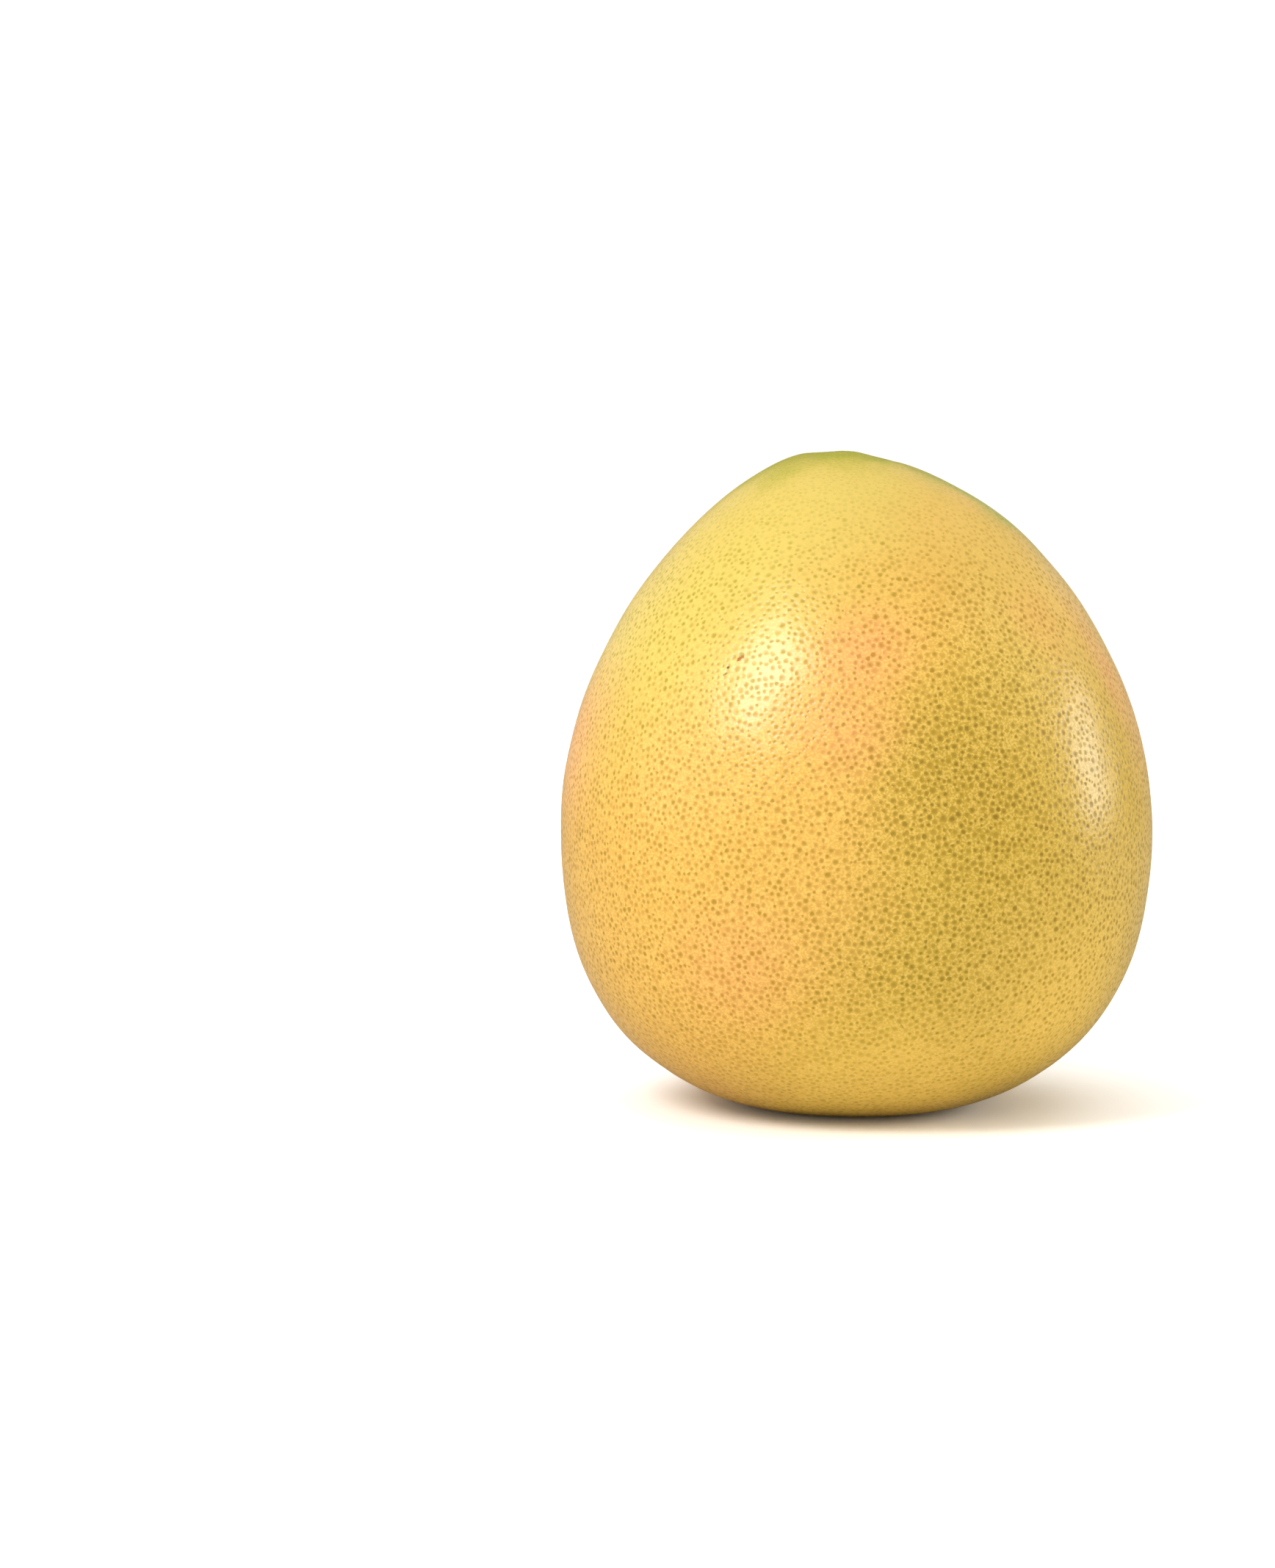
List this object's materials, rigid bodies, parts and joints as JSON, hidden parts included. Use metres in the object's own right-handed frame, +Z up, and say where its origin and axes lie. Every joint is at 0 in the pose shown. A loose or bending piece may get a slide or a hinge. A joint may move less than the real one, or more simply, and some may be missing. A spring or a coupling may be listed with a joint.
{
  "type": "whole pomelo",
  "caption": "Whole yellow pomelo with a pear-shaped body, a leaning neck and a clipped stem button. It rests on a small flat spot at its blossom end.",
  "frame": {"origin": "middle of the small flat spot that the fruit rests on, at the blossom end", "axes": "+Z up towards the stem end, -Y towards the front, +Y the way that the neck leans, +X to the right seen from the front"},
  "size_m": [0.1554, 0.1548, 0.1717],
  "materials": {
    "rind": "waxy yellow citrus peel, satin, finely pitted with darker oil glands",
    "stem_button": "dry matt brown calyx, with a paler clipped stalk"
  },
  "bodies": {
    "root": {"fruit": "rind", "stem_button": "stem_button"}
  },
  "joints": []
}
